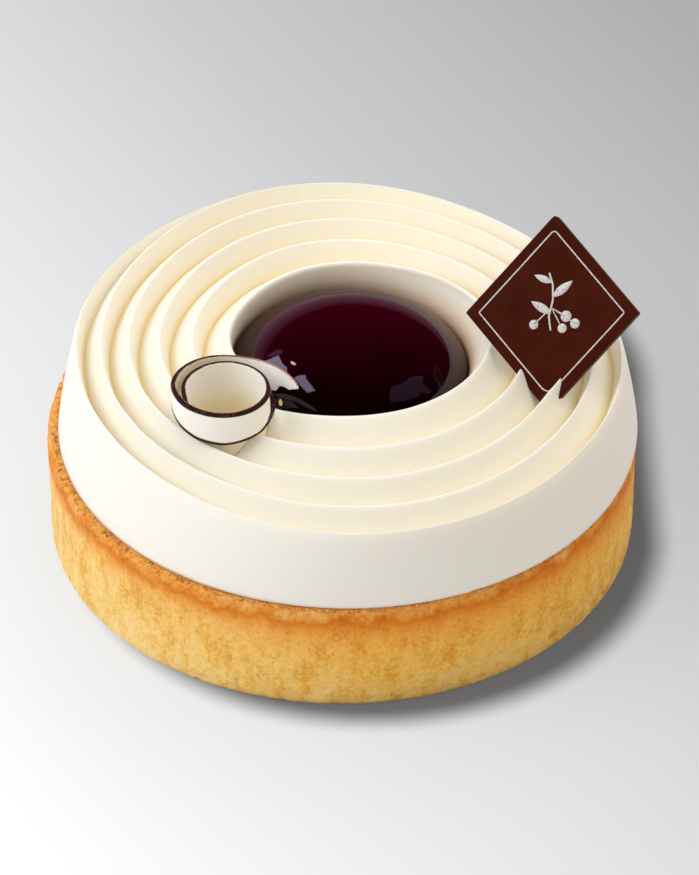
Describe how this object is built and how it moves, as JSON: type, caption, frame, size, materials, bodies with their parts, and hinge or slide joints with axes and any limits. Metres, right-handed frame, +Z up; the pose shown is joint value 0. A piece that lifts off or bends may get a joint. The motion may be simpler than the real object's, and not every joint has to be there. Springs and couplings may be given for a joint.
{
  "type": "tartlet",
  "caption": "Round tartlet: straight pastry shell, spiral of piped coconut cream, glazed blackcurrant dome in the middle, rolled chocolate curl and a leaning dark plaque.",
  "frame": {"origin": "centre of the pastry shell's flat underside", "axes": "+Z up; the picture looks along +Y, so -Y is the front; +X points from the curl's side to the plaque's side"},
  "size_m": [0.1, 0.1, 0.0564],
  "materials": {
    "baked_pastry": "baked short pastry, dry and finely porous",
    "piped_cream": "smooth piped coconut cream, satin",
    "fruit_glaze": "mirror glaze over fruit jelly",
    "white_chocolate": "tempered white chocolate with dark edges, satin",
    "dark_chocolate": "tempered dark chocolate, satin"
  },
  "bodies": {
    "root": {"tart_shell": "baked_pastry", "coconut_cream": "piped_cream", "blackcurrant_dome": "fruit_glaze", "chocolate_curl": "white_chocolate", "chocolate_plaque": "dark_chocolate"}
  },
  "joints": []
}
